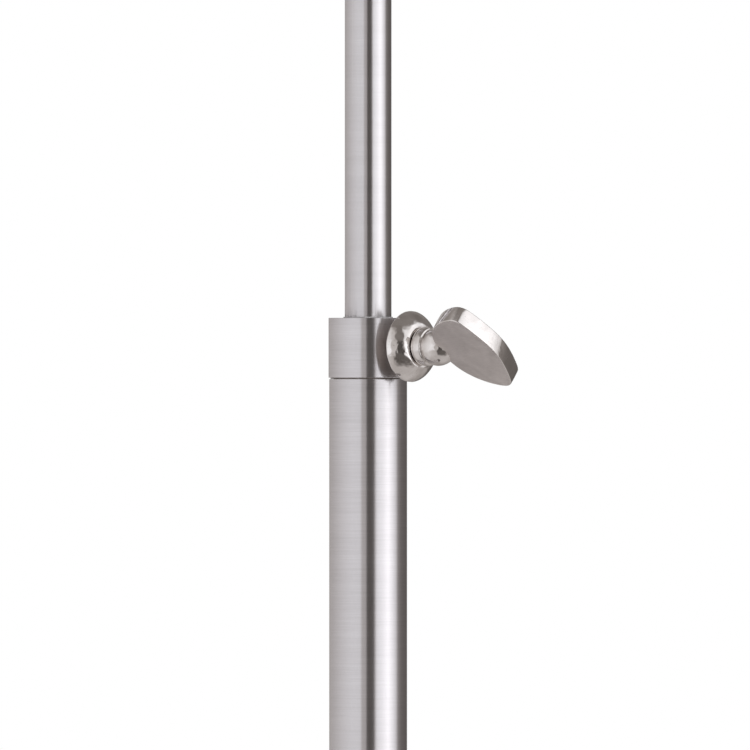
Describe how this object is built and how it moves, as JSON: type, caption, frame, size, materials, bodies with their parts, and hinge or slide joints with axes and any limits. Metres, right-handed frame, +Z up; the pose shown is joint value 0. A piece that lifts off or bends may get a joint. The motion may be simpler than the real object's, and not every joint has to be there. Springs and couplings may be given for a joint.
{
  "type": "flag pole stand",
  "caption": "Telescoping flag pole stand: round weighted base, lower tube, sliding mast clamped at a collar by a paddle thumb screw, and a ball finial.",
  "frame": {"origin": "on the floor, centre of the base's underside", "axes": "+Z up along the pole, +X from the pole along the thumb screw"},
  "size_m": [0.32, 0.32, 1.4338],
  "materials": {
    "brushed_steel": "brushed round the tube, satin nickel",
    "polished_metal": "polished nickel, slightly uneven cast surface",
    "fastener_steel": "zinc plated",
    "cast_iron": "rough, black painted",
    "grey_nylon": "turned grey nylon",
    "white_acetal": "turned white acetal",
    "rubber": "matt rubber sheet",
    "brass": "turned brass"
  },
  "bodies": {
    "stand": {"floor_pad": "rubber", "ballast": "cast_iron", "base_cover": "brushed_steel", "base_bolt": "fastener_steel", "lock_washer": "fastener_steel", "flat_washer": "fastener_steel", "foot_plug": "fastener_steel", "foot_escutcheon": "polished_metal", "escutcheon_set_screw": "fastener_steel", "lower_tube": "brushed_steel", "collar": "brushed_steel", "collar_liner": "grey_nylon"},
    "mast_slider": {"guide_bush": "grey_nylon"},
    "upper_pole": {"upper_tube": "brushed_steel", "bottom_plug": "white_acetal", "guide_pin": "fastener_steel", "top_plug": "fastener_steel"},
    "finial_lift": {"finial_washer": "grey_nylon"},
    "finial": {"finial_neck": "polished_metal", "finial_ball": "polished_metal", "finial_stud": "fastener_steel"},
    "clamp_follower": {"clamp_pad": "brass"},
    "thumb_screw": {"screw_stud": "fastener_steel", "screw_handle": "polished_metal", "thumb_paddle": "polished_metal"}
  },
  "joints": [
    {"name": "mast_slide", "type": "slide", "parent": "stand", "child": "mast_slider", "axis": [0, 0, 1], "range_m": [-0.27, 0.64]},
    {"name": "mast_turn", "type": "hinge", "parent": "mast_slider", "child": "upper_pole", "pos_m": [0, 0, 1], "axis": [0, 0, 1], "continuous": true},
    {"name": "clamp_feed", "type": "slide", "parent": "stand", "child": "clamp_follower", "axis": [1, 0, 0], "range_m": [0, 0.0025]},
    {"name": "clamp_turn", "type": "hinge", "parent": "clamp_follower", "child": "thumb_screw", "pos_m": [0.02, 0, 1.09105], "axis": [1, 0, 0], "range_deg": [0, 720]},
    {"name": "finial_lift", "type": "slide", "parent": "upper_pole", "child": "finial_lift", "axis": [0, 0, 1], "range_m": [0, 0.012]},
    {"name": "finial_turn", "type": "hinge", "parent": "finial_lift", "child": "finial", "pos_m": [0, 0, 1.38], "axis": [0, 0, 1], "range_deg": [0, 3456]}
  ],
  "couplings": [
    {"joint": "clamp_turn", "follows": "clamp_feed", "rad_per_m": 5026.5},
    {"joint": "finial_turn", "follows": "finial_lift", "rad_per_m": 5026.5}
  ]
}
